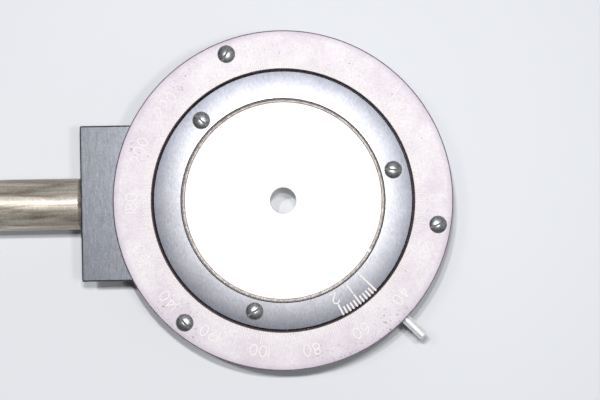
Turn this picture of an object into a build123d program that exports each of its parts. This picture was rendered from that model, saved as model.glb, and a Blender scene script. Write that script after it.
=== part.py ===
from build123d import *
import math
import os

# A rotation stage for a two-inch optic. A barrel with a vernier ring turns inside a round housing
# that carries a fixed degree circle, and a post on a side block holds the stage in its stand.
# Millimetres. +Z is the axis of rotation, towards the reader of the scale, with z = 0 on the back
# face. The post leaves towards -X, and zero of the degree circle lies at +X.

# ---- driving sizes, built up along Z from the back face -------------------------------------------
cover_thickness = 1.6
lock_ring_gap = 2.0
lock_ring_thickness = 3.2
spring_space = 1.2
washer_thickness = 0.5
bush_length = 12.0
flange_thickness = 7.0
flange_gap = 0.575
dial_thickness = 3.175
vernier_thickness = 3.175
disc_thickness = 3.175
rear_gap = 0.3

# ---- driving sizes, built up from the axis outwards ----------------------------------------------
disc_r = 25.4
sight_hole_r = 3.175
disc_clearance = 0.15
seat_width = 1.9
vernier_lip = 0.8
barrel_wall = 5.4
running_clearance = 0.05
bush_wall = 1.5
vernier_overhang = 0.51
dial_gap = 0.34
flange_step = 4.05
chamber_clearance = 0.5
housing_wall = 5.0
dial_overhang = 0.775
rear_step = 1.3
lock_step = 1.45
lock_ring_clearance = 0.6
cover_margin = 1.5
washer_clearance = 0.3

# ---- lever and its slot --------------------------------------------------------------------------
lever_r = 1.19
lever_stand = 7.1
lever_depth = 5.5
lever_dome = 0.7
lever_reading = 45.0
lever_travel = 100.0
slot_clearance = 0.41

# ---- small screws of the two rings ----------------------------------------------------------------
screw_r = 1.25
screw_head_r = 1.95
screw_head_rim = 0.55
screw_head_crown = 0.55
screw_crown_inset = 0.75
screw_slot_width = 0.5
screw_slot_depth = 0.6
screw_sink = 0.45
head_clearance = 0.2
thread_fit = 0.03
screw_tip_gap = 0.3
vernier_screw_inset = 2.15
vernier_screw_depth = 6.0
dial_screw_angle = 110.2
vernier_screw_angle = 14.6
dial_slot_angles = (59.0, -48.0, 21.0)
vernier_slot_angles = (-9.0, -43.0, 32.0)
screw_count = 3

# ---- flat split ring between the disc and the vernier ring's lip ----------------------------------
wire_show = 0.53
wire_height = 0.9
wire_opening = 2.0
wire_opening_angle = -30.0
wire_clearance = 0.05

# ---- rear cover, lock ring and spring washer ------------------------------------------------------
cover_fit = 0.1
cover_aperture_step = 0.5
cover_screw_r = 1.0
cover_screw_head_r = 1.9
cover_screw_length = 6.0
cover_screw_angle = 30.0
spring_thickness = 0.4
spring_play = 0.02
spanner_slot_width = 3.0
spanner_slot_depth = 1.4
grub_r = 1.0
grub_angle = 90.0
grub_socket = 1.0

# ---- mounting block and post ----------------------------------------------------------------------
block_width = 38.1
block_thickness = 12.7
block_length = 9.0
block_drop = 0.1
block_round = 0.9
block_edge = 0.4
block_screw_r = 2.0
block_screw_head_r = 3.5
block_screw_head = 4.0
block_screw_sink = 0.4
block_screw_hold = 3.4
block_screw_y = 13.0
block_screw_socket = 3.0
block_screw_socket_depth = 2.2
dowel_r = 1.5
dowel_y = 6.8
dowel_in_block = 4.5
dowel_in_wall = 2.8
post_r = 6.35
post_length = 76.2
post_chamfer = 0.8
stud_r = 3.1
stud_fit = 0.05
stud_in_block = 6.5
stud_in_post = 11.0
hole_end_gap = 0.5

# ---- edges ----------------------------------------------------------------------------------------
ring_edge = 0.35
dial_bevel = 0.45
vernier_edge = 0.25
housing_edge = 0.6
small_edge = 0.2

# ---- heights that follow --------------------------------------------------------------------------
lock_ring_z = cover_thickness + lock_ring_gap
spring_z = lock_ring_z + lock_ring_thickness
rear_washer_z = spring_z + spring_space
bush_z = rear_washer_z + washer_thickness
ledge_z = bush_z + bush_length
flange_z = ledge_z + washer_thickness
flange_top_z = flange_z + flange_thickness
dial_seat_z = flange_top_z + flange_gap
face_z = dial_seat_z + dial_thickness
vernier_seat_z = face_z - vernier_thickness
disc_top_z = vernier_seat_z - wire_height - 2 * wire_clearance
disc_seat_z = disc_top_z - disc_thickness
barrel_z = cover_thickness + rear_gap
lever_z = flange_z + flange_thickness / 2
block_z = dial_seat_z - block_drop - block_thickness / 2

# ---- radii that follow ----------------------------------------------------------------------------
disc_bore_r = disc_r + disc_clearance
aperture_r = disc_r - seat_width
vernier_inner_r = disc_r - vernier_lip
journal_r = disc_bore_r + barrel_wall
bush_inner_r = journal_r + running_clearance
bush_outer_r = bush_inner_r + bush_wall
lock_thread_r = journal_r - lock_step
vernier_outer_r = journal_r + vernier_overhang
dial_inner_r = vernier_outer_r + dial_gap
flange_r = journal_r + flange_step
chamber_r = flange_r + chamber_clearance
housing_r = chamber_r + housing_wall
dial_outer_r = housing_r + dial_overhang
dial_screw_circle_r = chamber_r + housing_wall / 2
vernier_screw_circle_r = disc_bore_r + vernier_screw_inset
rear_chamber_r = bush_outer_r + rear_step
lock_ring_r = rear_chamber_r - lock_ring_clearance
cover_r = housing_r - cover_margin
cover_aperture_r = aperture_r + cover_aperture_step
cover_screw_circle_r = (rear_chamber_r + cover_r) / 2
wire_inner_r = vernier_inner_r - wire_show
wire_outer_r = disc_bore_r - wire_clearance
slot_half = lever_r + slot_clearance
lever_tip_r = dial_outer_r + lever_stand
block_face_x = -housing_r - block_length


# ---- helpers --------------------------------------------------------------------------------------
def tube(outer_r, inner_r, low_z, high_z):
    """A straight ring about Z between two heights."""
    height = high_z - low_z
    ring = Cylinder(outer_r, height) - Cylinder(inner_r, height)
    return Pos(0, 0, low_z + height / 2) * ring


def turned(*points):
    """A turned piece: the closed outline (radius, height) spun about Z."""
    return revolve(Plane.XZ * make_face(Polyline(*points, close=True)), Axis.Z)


def around(angle, radius, z, piece):
    """The piece moved out to a radius, at a height, at an angle about Z."""
    return Rot(0, 0, angle) * Pos(radius, 0, z) * piece


def rod_x(radius, x_from, x_to, y, z):
    """A round rod along X between two places."""
    low, high = sorted((x_from, x_to))
    return Pos((low + high) / 2, y, z) * Rot(0, 90, 0) * Cylinder(radius, high - low)


def top_edges(piece):
    """The round edges that lie highest on a piece."""
    return piece.edges().filter_by(GeomType.CIRCLE).group_by(Axis.Z)[-1]


def group(pieces):
    """Separate solids that share one node."""
    return Compound(children=list(pieces))


# ---- slotted screws of the two rings --------------------------------------------------------------
def ring_screw(length, slot_angle):
    """A slotted screw with a crowned head. Its head is seated at z = 0 and its thread points down."""
    crown = screw_head_rim + screw_head_crown
    screw = turned(
        (0, -length), (screw_r, -length), (screw_r, 0), (screw_head_r, 0),
        (screw_head_r, screw_head_rim), (screw_head_r - screw_crown_inset, crown), (0, crown))
    slot = Box(4 * screw_head_r, screw_slot_width, 2 * screw_slot_depth)
    return screw - Pos(0, 0, crown) * Rot(0, 0, slot_angle) * slot


def ring_screw_angles(first):
    """The angles of one ring's screws, evenly spaced from the first."""
    return [first + 360 / screw_count * number for number in range(screw_count)]


def with_screw_holes(ring, low_z, circle_r, first_angle):
    """The ring with a through hole and a shallow counterbore for each of its screws."""
    counterbore = Pos(0, 0, face_z) * Cylinder(screw_head_r + head_clearance, 2 * screw_sink)
    height = 2 * (face_z - low_z)
    for angle in ring_screw_angles(first_angle):
        ring -= around(angle, circle_r, 0, counterbore)
        ring -= around(angle, circle_r, face_z, Cylinder(screw_r + thread_fit, height))
    return ring


def ring_screws(circle_r, first_angle, length, slot_angles):
    """All the screws of one ring, in place."""
    seat_z = face_z - screw_sink
    angles = ring_screw_angles(first_angle)
    return group(around(angle, circle_r, seat_z, ring_screw(length, slot - angle))
                 for angle, slot in zip(angles, slot_angles))


# ---- fixed rings and housing ----------------------------------------------------------------------
dial_thread_z = lever_z + slot_half + screw_tip_gap
dial_screw_length = face_z - screw_sink - dial_thread_z


def dial_ring():
    """The fixed degree circle, with its inner edge bevelled for the graduations."""
    ring = tube(dial_outer_r, dial_inner_r, dial_seat_z, face_z)
    inner_edge, outer_edge = top_edges(ring).sort_by(SortBy.RADIUS)
    ring = chamfer(inner_edge, dial_bevel)
    ring = chamfer(top_edges(ring).sort_by(SortBy.RADIUS)[-1], ring_edge)
    return with_screw_holes(ring, dial_seat_z, dial_screw_circle_r, dial_screw_angle)


def lever_slot():
    """The space of the lever: an arc through the wall with milled round ends."""
    inner_r = flange_r - chamber_clearance
    outer_r = dial_outer_r
    side = Pos((inner_r + outer_r) / 2, lever_z) * Rectangle(outer_r - inner_r, 2 * slot_half)
    arc = Rot(0, 0, -lever_travel) * revolve(Plane.XZ * side, Axis.Z, 2 * lever_travel)
    for angle in (-lever_travel, lever_travel):
        arc += Rot(0, 0, angle) * rod_x(slot_half, inner_r, outer_r, 0, lever_z)
    return arc


def housing():
    """The round body: flange chamber in front, bush seat, rear chamber and cover recess."""
    body = turned(
        (chamber_r, dial_seat_z), (housing_r, dial_seat_z),
        (housing_r, housing_edge), (housing_r - housing_edge, 0), (cover_r + cover_fit, 0),
        (cover_r + cover_fit, cover_thickness), (rear_chamber_r, cover_thickness),
        (rear_chamber_r, bush_z), (bush_outer_r, bush_z),
        (bush_outer_r, ledge_z), (chamber_r, ledge_z))
    body -= lever_slot()
    dial_tap = Pos(0, 0, dial_seat_z) * Cylinder(screw_r + thread_fit, 2 * (dial_seat_z - dial_thread_z))
    for angle in ring_screw_angles(dial_screw_angle):
        body -= around(angle, dial_screw_circle_r, 0, dial_tap)
    for angle in cover_screw_angles():
        body -= around(angle, cover_screw_circle_r, 0, Cylinder(cover_screw_r + thread_fit, cover_tap_depth))
    for y in (-block_screw_y, block_screw_y):
        body -= rod_x(block_screw_r + thread_fit, block_face_x, block_screw_tip_x + hole_end_gap, y, block_z)
    for y in (-dowel_y, dowel_y):
        body -= rod_x(dowel_r + thread_fit, block_face_x, dowel_tip_x, y, block_z)
    return body


def journal_bush():
    """The plain bearing sleeve that the barrel turns in."""
    return tube(bush_outer_r, bush_inner_r, bush_z, ledge_z)


def front_thrust_washer():
    """The washer under the barrel's flange."""
    return tube(chamber_r - washer_clearance, journal_r + washer_clearance, ledge_z, flange_z)


# ---- rear cover -----------------------------------------------------------------------------------
cover_head_depth = cover_screw_head_r - cover_screw_r
cover_tap_depth = 2 * (cover_screw_length + hole_end_gap)


def cover_screw_angles():
    """The angles of the rear cover's screws."""
    return [cover_screw_angle + 360 / screw_count * number for number in range(screw_count)]


def rear_cover():
    """The flat plate let into the back, open in the middle for the light."""
    plate = tube(cover_r, cover_aperture_r, 0, cover_thickness)
    sink = Pos(0, 0, cover_head_depth / 2) * Cone(
        cover_screw_head_r + thread_fit, cover_screw_r + thread_fit, cover_head_depth)
    for angle in cover_screw_angles():
        plate -= around(angle, cover_screw_circle_r, 0, sink)
        plate -= around(angle, cover_screw_circle_r, 0, Cylinder(cover_screw_r + thread_fit, cover_tap_depth))
    return plate


def cover_screw():
    """A countersunk slotted screw, its head flush with z = 0 and its thread pointing up."""
    screw = turned(
        (0, small_edge), (cover_screw_head_r - small_edge, small_edge),
        (cover_screw_r, cover_head_depth), (cover_screw_r, cover_screw_length), (0, cover_screw_length))
    slot = Box(4 * cover_screw_head_r, screw_slot_width, 2 * (small_edge + cover_head_depth / 2))
    return screw - slot


def rear_cover_screws():
    """The screws of the rear cover."""
    return group(around(angle, cover_screw_circle_r, 0, cover_screw()) for angle in cover_screw_angles())


# ---- turning parts --------------------------------------------------------------------------------
hub_r = vernier_outer_r - vernier_edge


def rotor_barrel():
    """The barrel that turns: journal, driving flange, hub for the vernier ring and disc seat."""
    barrel = turned(
        (aperture_r, barrel_z), (lock_thread_r, barrel_z), (lock_thread_r, spring_z),
        (journal_r, spring_z), (journal_r, flange_z), (flange_r, flange_z),
        (flange_r, flange_top_z), (hub_r, flange_top_z), (hub_r, vernier_seat_z),
        (disc_bore_r, vernier_seat_z), (disc_bore_r, disc_seat_z), (aperture_r, disc_seat_z))
    tap = Pos(0, 0, vernier_seat_z) * Cylinder(screw_r + thread_fit, 2 * (vernier_screw_depth + hole_end_gap))
    for angle in ring_screw_angles(vernier_screw_angle):
        barrel -= around(angle, vernier_screw_circle_r, 0, tap)
    lever_hole = rod_x(lever_r + thread_fit, lever_root_r - hole_end_gap, flange_r + 1, 0, lever_z)
    return barrel - Rot(0, 0, -lever_reading) * lever_hole


def vernier_ring():
    """The flat ring that carries the vernier. Its lip holds the split ring and the disc down."""
    ring = tube(vernier_outer_r, vernier_inner_r, vernier_seat_z, face_z)
    ring = chamfer(top_edges(ring), vernier_edge)
    return with_screw_holes(ring, vernier_seat_z, vernier_screw_circle_r, vernier_screw_angle)


def target_disc():
    """The plain disc in the optic's seat, with a sight hole in its middle."""
    disc = tube(disc_r, sight_hole_r, disc_seat_z, disc_top_z)
    return chamfer(top_edges(disc), small_edge)


def disc_retaining_wire():
    """The flat split ring that lies on the disc's edge, under the lip of the vernier ring."""
    centre = Pos((wire_inner_r + wire_outer_r) / 2, disc_top_z + wire_clearance + wire_height / 2)
    section = centre * Rectangle(wire_outer_r - wire_inner_r, wire_height)
    ring = revolve(Plane.XZ * section, Axis.Z, 360 - wire_opening)
    return Rot(0, 0, wire_opening_angle) * ring


lever_root_r = flange_r - lever_depth


def lever_pin():
    """The lever: a round pin screwed radially into the flange, with a domed tip."""
    pin = rod_x(lever_r, lever_root_r, lever_tip_r, 0, lever_z)
    pin = fillet(pin.edges().filter_by(GeomType.CIRCLE).group_by(Axis.X)[-1], lever_dome)
    return Rot(0, 0, -lever_reading) * pin


def rear_thrust_washer():
    """The washer between the bush and the spring."""
    return tube(lock_ring_r, journal_r + washer_clearance, rear_washer_z, bush_z)


def drag_spring_washer():
    """A curved spring washer: a bowed strip of sheet, cut to a ring."""
    rise = spring_space - spring_thickness - spring_play
    bow_r = (lock_ring_r ** 2 + rise ** 2) / (2 * rise)
    top_z = rear_washer_z - spring_play / 2
    sheet = Circle(bow_r) - Circle(bow_r - spring_thickness)
    strip = extrude(Plane.XZ * Pos(0, top_z - bow_r) * sheet, lock_ring_r + 1, both=True)
    return strip & tube(lock_ring_r, journal_r + washer_clearance, spring_z, rear_washer_z)


grub_z = lock_ring_z + lock_ring_thickness / 2


def lock_ring():
    """The threaded ring that sets the end play, with two spanner slots and a grub screw hole."""
    ring = tube(lock_ring_r, lock_thread_r, lock_ring_z, spring_z)
    slots = Box(2 * lock_ring_r + 1, spanner_slot_width, 2 * spanner_slot_depth)
    ring -= Pos(0, 0, lock_ring_z) * slots
    hole = rod_x(grub_r + thread_fit, lock_thread_r - 1, lock_ring_r + 1, 0, grub_z)
    return ring - Rot(0, 0, grub_angle) * hole


def lock_ring_grub_screw():
    """The small screw that keeps the lock ring from turning back."""
    grub = rod_x(grub_r, lock_thread_r, lock_ring_r - small_edge, 0, grub_z)
    socket = Pos(lock_ring_r - small_edge, 0, grub_z) * Rot(0, 90, 0) * extrude(
        RegularPolygon(grub_socket / 2, 6, major_radius=False), grub_socket, both=True)
    return Rot(0, 0, grub_angle) * (grub - socket)


# ---- mounting block and post ----------------------------------------------------------------------
block_screw_wall_x = -math.sqrt(housing_r ** 2 - block_screw_y ** 2)
block_screw_tip_x = block_screw_wall_x + block_screw_hold
block_screw_seat_x = block_face_x + block_screw_head + block_screw_sink
dowel_wall_x = -math.sqrt(housing_r ** 2 - dowel_y ** 2)
dowel_tip_x = dowel_wall_x + dowel_in_wall
dowel_root_x = dowel_wall_x - dowel_in_block


def mounting_block():
    """The side block: a saddle that fits the housing's round wall, with the post on its outer face."""
    length = block_length + housing_r
    block = Pos(block_face_x + length / 2, 0, block_z) * Box(length, block_width, block_thickness)
    block = fillet(block.edges().filter_by(Axis.Z).group_by(Axis.X)[0], block_round)
    rim = block.faces().sort_by(Axis.Z)[-1].edges() + block.faces().sort_by(Axis.Z)[0].edges()
    block = chamfer(rim, block_edge)
    block -= Pos(0, 0, block_z) * Cylinder(housing_r, 2 * block_thickness)
    for y in (-block_screw_y, block_screw_y):
        block -= rod_x(block_screw_r + thread_fit, block_face_x, 0, y, block_z)
        block -= rod_x(block_screw_head_r + head_clearance, block_face_x, block_screw_seat_x, y, block_z)
    for y in (-dowel_y, dowel_y):
        block -= rod_x(dowel_r + thread_fit, dowel_root_x, 0, y, block_z)
    stud_hole_x = block_face_x + stud_in_block + hole_end_gap
    return block - rod_x(stud_r + stud_fit, block_face_x, stud_hole_x, 0, block_z)


def block_screw(y):
    """A socket head screw through the block into the housing's wall."""
    head_x = block_face_x + block_screw_sink
    head = rod_x(block_screw_head_r, head_x, block_screw_seat_x, y, block_z)
    head = chamfer(head.edges().filter_by(GeomType.CIRCLE).group_by(Axis.X)[0], small_edge)
    shank = rod_x(block_screw_r, block_screw_seat_x, block_screw_tip_x, y, block_z)
    socket = Pos(head_x, y, block_z) * Rot(0, 90, 0) * extrude(
        RegularPolygon(block_screw_socket / 2, 6, major_radius=False), block_screw_socket_depth, both=True)
    return head + shank - socket


def block_screws():
    """The two screws of the block."""
    return group(block_screw(y) for y in (-block_screw_y, block_screw_y))


def block_dowels():
    """The two dowels that place the block on the housing."""
    return group(rod_x(dowel_r, dowel_root_x, dowel_tip_x, y, block_z) for y in (-dowel_y, dowel_y))


def post():
    """The round post, with both ends chamfered and a tapped hole for its stud."""
    rod = rod_x(post_r, block_face_x, block_face_x - post_length, 0, block_z)
    rod = chamfer(rod.edges().filter_by(GeomType.CIRCLE), post_chamfer)
    hole_end_x = block_face_x - stud_in_post - hole_end_gap
    return rod - rod_x(stud_r + stud_fit, block_face_x, hole_end_x, 0, block_z)


def post_stud():
    """The threaded stud that joins the post to the block."""
    return rod_x(stud_r, block_face_x + stud_in_block, block_face_x - stud_in_post, 0, block_z)


# ---- the assembly ---------------------------------------------------------------------------------
vernier_screw_length = vernier_thickness - screw_sink + vernier_screw_depth

nodes = {
    "housing": housing(),
    "journal_bush": journal_bush(),
    "front_thrust_washer": front_thrust_washer(),
    "dial_ring": dial_ring(),
    "dial_ring_screws": ring_screws(
        dial_screw_circle_r, dial_screw_angle, dial_screw_length, dial_slot_angles),
    "rear_cover": rear_cover(),
    "rear_cover_screws": rear_cover_screws(),
    "rotor_barrel": rotor_barrel(),
    "vernier_ring": vernier_ring(),
    "vernier_ring_screws": ring_screws(
        vernier_screw_circle_r, vernier_screw_angle, vernier_screw_length, vernier_slot_angles),
    "target_disc": target_disc(),
    "disc_retaining_wire": disc_retaining_wire(),
    "lever_pin": lever_pin(),
    "rear_thrust_washer": rear_thrust_washer(),
    "drag_spring_washer": drag_spring_washer(),
    "rotor_lock_ring": lock_ring(),
    "lock_ring_grub_screw": lock_ring_grub_screw(),
    "mounting_block": mounting_block(),
    "block_screws": block_screws(),
    "block_dowels": block_dowels(),
    "post": post(),
    "post_stud": post_stud(),
}

os.makedirs("parts", exist_ok=True)
for name, shape in nodes.items():
    export_step(shape, f"parts/{name}.step")

print(f"overall height {face_z:.3f}, degree circle diameter {2 * dial_outer_r:.2f}")
print(f"dial screws reach {dial_screw_length:.2f}, lever height {lever_z:.2f}, post height {block_z:.2f}")
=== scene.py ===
# %% [markdown]
# # A rotation stage for a two-inch optic
# A lever turns a barrel with a vernier ring inside a fixed degree circle, and a post on a side
# block holds the stage in its stand. The solids come packed as a fixed frame. Every visible surface
# gets its finish here, in the same metres and about the same axes, so nothing has to be fitted.

# %% Load the frame and keep its box
import math
import bmesh
import bpy
import numpy as np
from mathutils import Matrix, Vector


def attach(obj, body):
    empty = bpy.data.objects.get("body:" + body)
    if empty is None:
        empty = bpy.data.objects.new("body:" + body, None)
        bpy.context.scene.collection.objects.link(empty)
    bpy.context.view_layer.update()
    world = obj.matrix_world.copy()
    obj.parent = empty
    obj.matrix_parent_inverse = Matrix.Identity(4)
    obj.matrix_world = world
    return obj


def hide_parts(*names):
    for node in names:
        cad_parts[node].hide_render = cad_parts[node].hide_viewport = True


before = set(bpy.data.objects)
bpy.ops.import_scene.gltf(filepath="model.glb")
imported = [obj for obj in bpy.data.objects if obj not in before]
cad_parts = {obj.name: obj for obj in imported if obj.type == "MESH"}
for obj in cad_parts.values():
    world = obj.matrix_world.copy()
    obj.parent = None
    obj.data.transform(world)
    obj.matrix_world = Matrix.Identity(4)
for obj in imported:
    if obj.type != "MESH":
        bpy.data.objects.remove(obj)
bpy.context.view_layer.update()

# %% [markdown]
# ## From numbers to a mesh
# Machined parts are turned or milled, so nearly every surface is a grid: an outline carried round
# an axis or along a line. A shape here is a pair, its points as rows of x, y, z in millimetres and
# a list of face arrays. Whole arrays go into the mesh at once, which keeps a ring of fifty thousand
# faces quick to make.

# %% Grids and pieces
MM = 0.001
FIXED = "stage_body"
TURNING = "rotor"


def grid_faces(rows, columns, wrap_rows=False, wrap_columns=True):
    """Quads of a grid numbered row by row: each joins a point to its next column and next row."""
    row, column = np.meshgrid(
        np.arange(rows if wrap_rows else rows - 1),
        np.arange(columns if wrap_columns else columns - 1), indexing="ij")
    next_row, next_column = (row + 1) % rows, (column + 1) % columns
    corners = (row * columns + column, row * columns + next_column,
               next_row * columns + next_column, next_row * columns + column)
    return np.stack([corner.ravel() for corner in corners], 1)


def stacked(*shapes):
    """Several shapes as one: the points follow each other, and the face numbers shift to match."""
    points, faces, start = [], [], 0
    for shape_points, shape_faces in shapes:
        points.append(shape_points)
        faces += [face + start for face in shape_faces]
        start += len(shape_points)
    return np.concatenate(points), faces


def new_piece(name, shape, materials, face_slots=None):
    """A mesh object from a shape in millimetres. Face slots number each face's material."""
    points, faces = shape
    mesh = bpy.data.meshes.new(name)
    mesh.vertices.add(len(points))
    mesh.vertices.foreach_set("co", (points * MM).astype(np.float32).ravel())
    corners = np.concatenate([face.ravel() for face in faces]).astype(np.int32)
    sizes = np.concatenate([np.full(len(face), face.shape[1]) for face in faces])
    mesh.loops.add(len(corners))
    mesh.loops.foreach_set("vertex_index", corners)
    mesh.polygons.add(len(sizes))
    mesh.polygons.foreach_set("loop_start", (np.cumsum(sizes) - sizes).astype(np.int32))
    for material in materials:
        mesh.materials.append(material)
    if face_slots is not None:
        mesh.polygons.foreach_set("material_index", face_slots.astype(np.int32))
    mesh.update(calc_edges=True)
    piece = bpy.data.objects.new(name, mesh)
    bpy.context.scene.collection.objects.link(piece)
    return piece


def close_up(piece, sharp_degrees=28.0):
    """Merges points that meet, turns the faces outwards, and keeps only real edges sharp."""
    shape = bmesh.new()
    shape.from_mesh(piece.data)
    bmesh.ops.remove_doubles(shape, verts=shape.verts, dist=2e-7)
    bmesh.ops.recalc_face_normals(shape, faces=shape.faces)
    shape.to_mesh(piece.data)
    shape.free()
    piece.data.shade_smooth()
    piece.data.set_sharp_from_angle(angle=math.radians(sharp_degrees))
    return piece


def settle(piece):
    """Gives the piece the mesh that its modifiers make, and drops the modifiers."""
    graph = bpy.context.evaluated_depsgraph_get()
    made = bpy.data.meshes.new_from_object(
        piece.evaluated_get(graph), preserve_all_data_layers=True, depsgraph=graph)
    old = piece.data
    piece.modifiers.clear()
    piece.data = made
    bpy.data.meshes.remove(old)
    return piece


def cut(piece, cutter_shape, material=None):
    """The piece less a shape: an exact boolean, after which the cutter is thrown away. The new
    walls get the cutter's material, which is the piece's first one unless another is named."""
    walls = [material or piece.data.materials[0]]
    cutter = close_up(new_piece(piece.name + ".cutter", cutter_shape, walls))
    modifier = piece.modifiers.new("cut", "BOOLEAN")
    modifier.object = cutter
    modifier.operation = "DIFFERENCE"
    modifier.solver = "EXACT"
    modifier.material_mode = "TRANSFER"
    settle(piece)
    bpy.data.objects.remove(cutter)
    return piece


def finished(piece, body, slot, *nodes, weighted=True, sharp_degrees=28.0):
    """Shades a finished piece by the size of its faces, ties it to its body, and hides the solids
    that it stands for."""
    close_up(piece, sharp_degrees)
    if weighted:
        piece.modifiers.new("even shading", "WEIGHTED_NORMAL").keep_sharp = True
    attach(piece, body)
    if nodes:
        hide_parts(*nodes)
    print(f"{piece.name}: {len(piece.data.polygons)} faces")
    return piece


# %% Outlines, turned shapes and placing
def eased(outline, easing, steps=3):
    """Rounds the corners of a closed outline. A corner P with easing d becomes the curve
    (1-t)^2 A + 2t(1-t) P + t^2 B, where A and B lie at the distance d on its two sides."""
    outline = np.array(outline, float)
    reach = np.broadcast_to(np.asarray(easing, float), len(outline))[:, None]
    back, ahead = np.roll(outline, 1, 0) - outline, np.roll(outline, -1, 0) - outline
    start = outline + back / np.linalg.norm(back, axis=1, keepdims=True) * reach
    end = outline + ahead / np.linalg.norm(ahead, axis=1, keepdims=True) * reach
    t = np.linspace(0, 1, steps + 1)[None, :, None]
    curve = ((1 - t) ** 2 * start[:, None] + 2 * t * (1 - t) * outline[:, None]
             + t ** 2 * end[:, None])
    points = curve.reshape(-1, 2)
    return points[np.linalg.norm(points - np.roll(points, 1, 0), axis=1) > 1e-6]


def turned(outline, columns=180):
    """A surface of revolution: each (radius, height) of the outline goes round Z. A closed outline
    makes a ring, and one that starts and ends on the axis makes a solid piece."""
    outline = np.asarray(outline, float)
    angle = np.arange(columns) * 2 * math.pi / columns
    radius, height = outline[:, :1], outline[:, 1:]
    points = np.stack([radius * np.cos(angle), radius * np.sin(angle), height + 0 * angle], 2)
    ring = outline[0, 0] > 0 or outline[-1, 0] > 0
    return points.reshape(-1, 3), [grid_faces(len(outline), columns, wrap_rows=ring)]


def placed(shape, matrix):
    """The shape carried by a 4 by 4 matrix, in millimetres."""
    points, faces = shape
    matrix = np.array(matrix)
    return points @ matrix[:3, :3].T + matrix[:3, 3], faces


def turn(degrees, axis="Z"):
    """The matrix of a turn about an axis through the origin."""
    return Matrix.Rotation(math.radians(degrees), 4, axis)


def shift(x, y, z):
    """The matrix of a move."""
    return Matrix.Translation((x, y, z))


def rod(radius, low, high, columns=48):
    """A plain cylinder about Z between two heights."""
    return turned([(0, low), (radius, low), (radius, high), (0, high)], columns)


def brick(x, y, z):
    """A box about the origin with these full sizes."""
    corners = np.array([(i, j, k) for i in (-.5, .5) for j in (-.5, .5) for k in (-.5, .5)])
    faces = np.array([(0, 1, 3, 2), (4, 6, 7, 5), (0, 4, 5, 1),
                      (2, 3, 7, 6), (0, 2, 6, 4), (1, 5, 7, 3)])
    return corners * (x, y, z), [faces]


# %% [markdown]
# ## Colours and nodes
# A colour is picked on a screen as sRGB hex, and the shader works in linear light, so one function
# turns one into the other. One more adds a node with its settings and links, and a few short ones
# name the steps that every finish here is layered from. Every pattern runs on Object coordinates,
# which are metres here, so a grain of d millimetres has the scale 1000 / d.

# %% Colour and node helpers
# The numbers of a Mix node's sockets when it mixes colours.
FACTOR, COLOUR_A, COLOUR_B, MIXED = 0, 6, 7, 2


def linear(hex_colour):
    """sRGB hex to linear: v / 12.92 below 0.04045, and ((v + 0.055) / 1.055) ^ 2.4 above it."""
    values = [int(hex_colour[i:i + 2], 16) / 255 for i in (1, 3, 5)]
    return (*[v / 12.92 if v <= 0.04045 else ((v + 0.055) / 1.055) ** 2.4 for v in values], 1.0)


def node(owner, kind, inputs=None, **settings):
    """Adds a node. Its settings are properties, and each input gets a value or another's output."""
    made = owner.node_tree.nodes.new("ShaderNode" + kind)
    for name, value in settings.items():
        setattr(made, name, value)
    for socket, value in (inputs or {}).items():
        if isinstance(value, bpy.types.NodeSocket):
            owner.node_tree.links.new(value, made.inputs[socket])
        else:
            made.inputs[socket].default_value = value
    return made


def new_material(name, **values):
    """A material with the values on its shader's sockets, the shader, and object coordinates."""
    material = bpy.data.materials.new(name)
    material.use_nodes = True
    shader = material.node_tree.nodes["Principled BSDF"]
    for socket, value in values.items():
        shader.inputs[socket.replace("_", " ")].default_value = value
    return material, shader, node(material, "TexCoord").outputs["Object"]


def join(material, output, shader, socket):
    """Links an output to one of the shader's sockets."""
    material.node_tree.links.new(output, shader.inputs[socket])


def noise(material, place, grain, detail, roughness=0.5, distortion=0.0, turned_by=0.0):
    """Cloudy values about 0.5, whose patches have the grain's size in millimetres. A grain of three
    sizes stretches them along x, y and z, after a turn about z in radians."""
    scale = 1.0
    if isinstance(grain, tuple):
        place = node(material, "Mapping", {"Vector": place, "Rotation": (0.0, 0.0, turned_by),
                                           "Scale": [1000 / size for size in grain]}).outputs[0]
    else:
        scale = 1000 / grain
    return node(material, "TexNoise", {"Vector": place, "Scale": scale, "Detail": detail,
                                       "Roughness": roughness, "Distortion": distortion}).outputs[0]


def ranged(owner, value, low, high, to_low=0.0, to_high=1.0):
    """The part of a value from low to high, stretched to a new range and held at its ends."""
    return node(owner, "MapRange", {"Value": value, "From Min": low, "From Max": high,
                                    "To Min": to_low, "To Max": to_high}).outputs[0]


def blend(material, factor, first, second):
    """From the first colour at factor 0 to the second at 1. A colour is a hex text or an output."""
    first, second = [linear(side) if isinstance(side, str) else side for side in (first, second)]
    return node(material, "Mix", {FACTOR: factor, COLOUR_A: first, COLOUR_B: second},
                data_type="RGBA").outputs[MIXED]


def dimmed(material, colour, value):
    """A colour times a value."""
    return node(material, "Mix", {FACTOR: 1.0, COLOUR_A: colour, COLOUR_B: value},
                data_type="RGBA", blend_type="MULTIPLY").outputs[MIXED]


def bump(material, shader, value, strength, depth):
    """Tilts the light on the surface as a relief of this depth in millimetres would."""
    relief = node(material, "Bump", {"Height": value, "Strength": strength, "Distance": depth * MM})
    join(material, relief.outputs[0], shader, "Normal")


def off_axis(material, place):
    """The way from the axis to the point, and its length, both in metres."""
    flat = node(material, "VectorMath", {0: place, 1: (1.0, 1.0, 0.0)}, operation="MULTIPLY")
    reach = node(material, "VectorMath", {0: flat.outputs[0]}, operation="LENGTH")
    return flat.outputs[0], reach.outputs["Value"]


def two_toned(name, dark, pale, grain, detail, **values):
    """A material whose colour wanders between two tones in patches of the grain's size."""
    material, shader, place = new_material(name, **values)
    patches = noise(material, place, grain, detail)
    join(material, blend(material, patches, dark, pale), shader, "Base Color")
    return material
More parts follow.
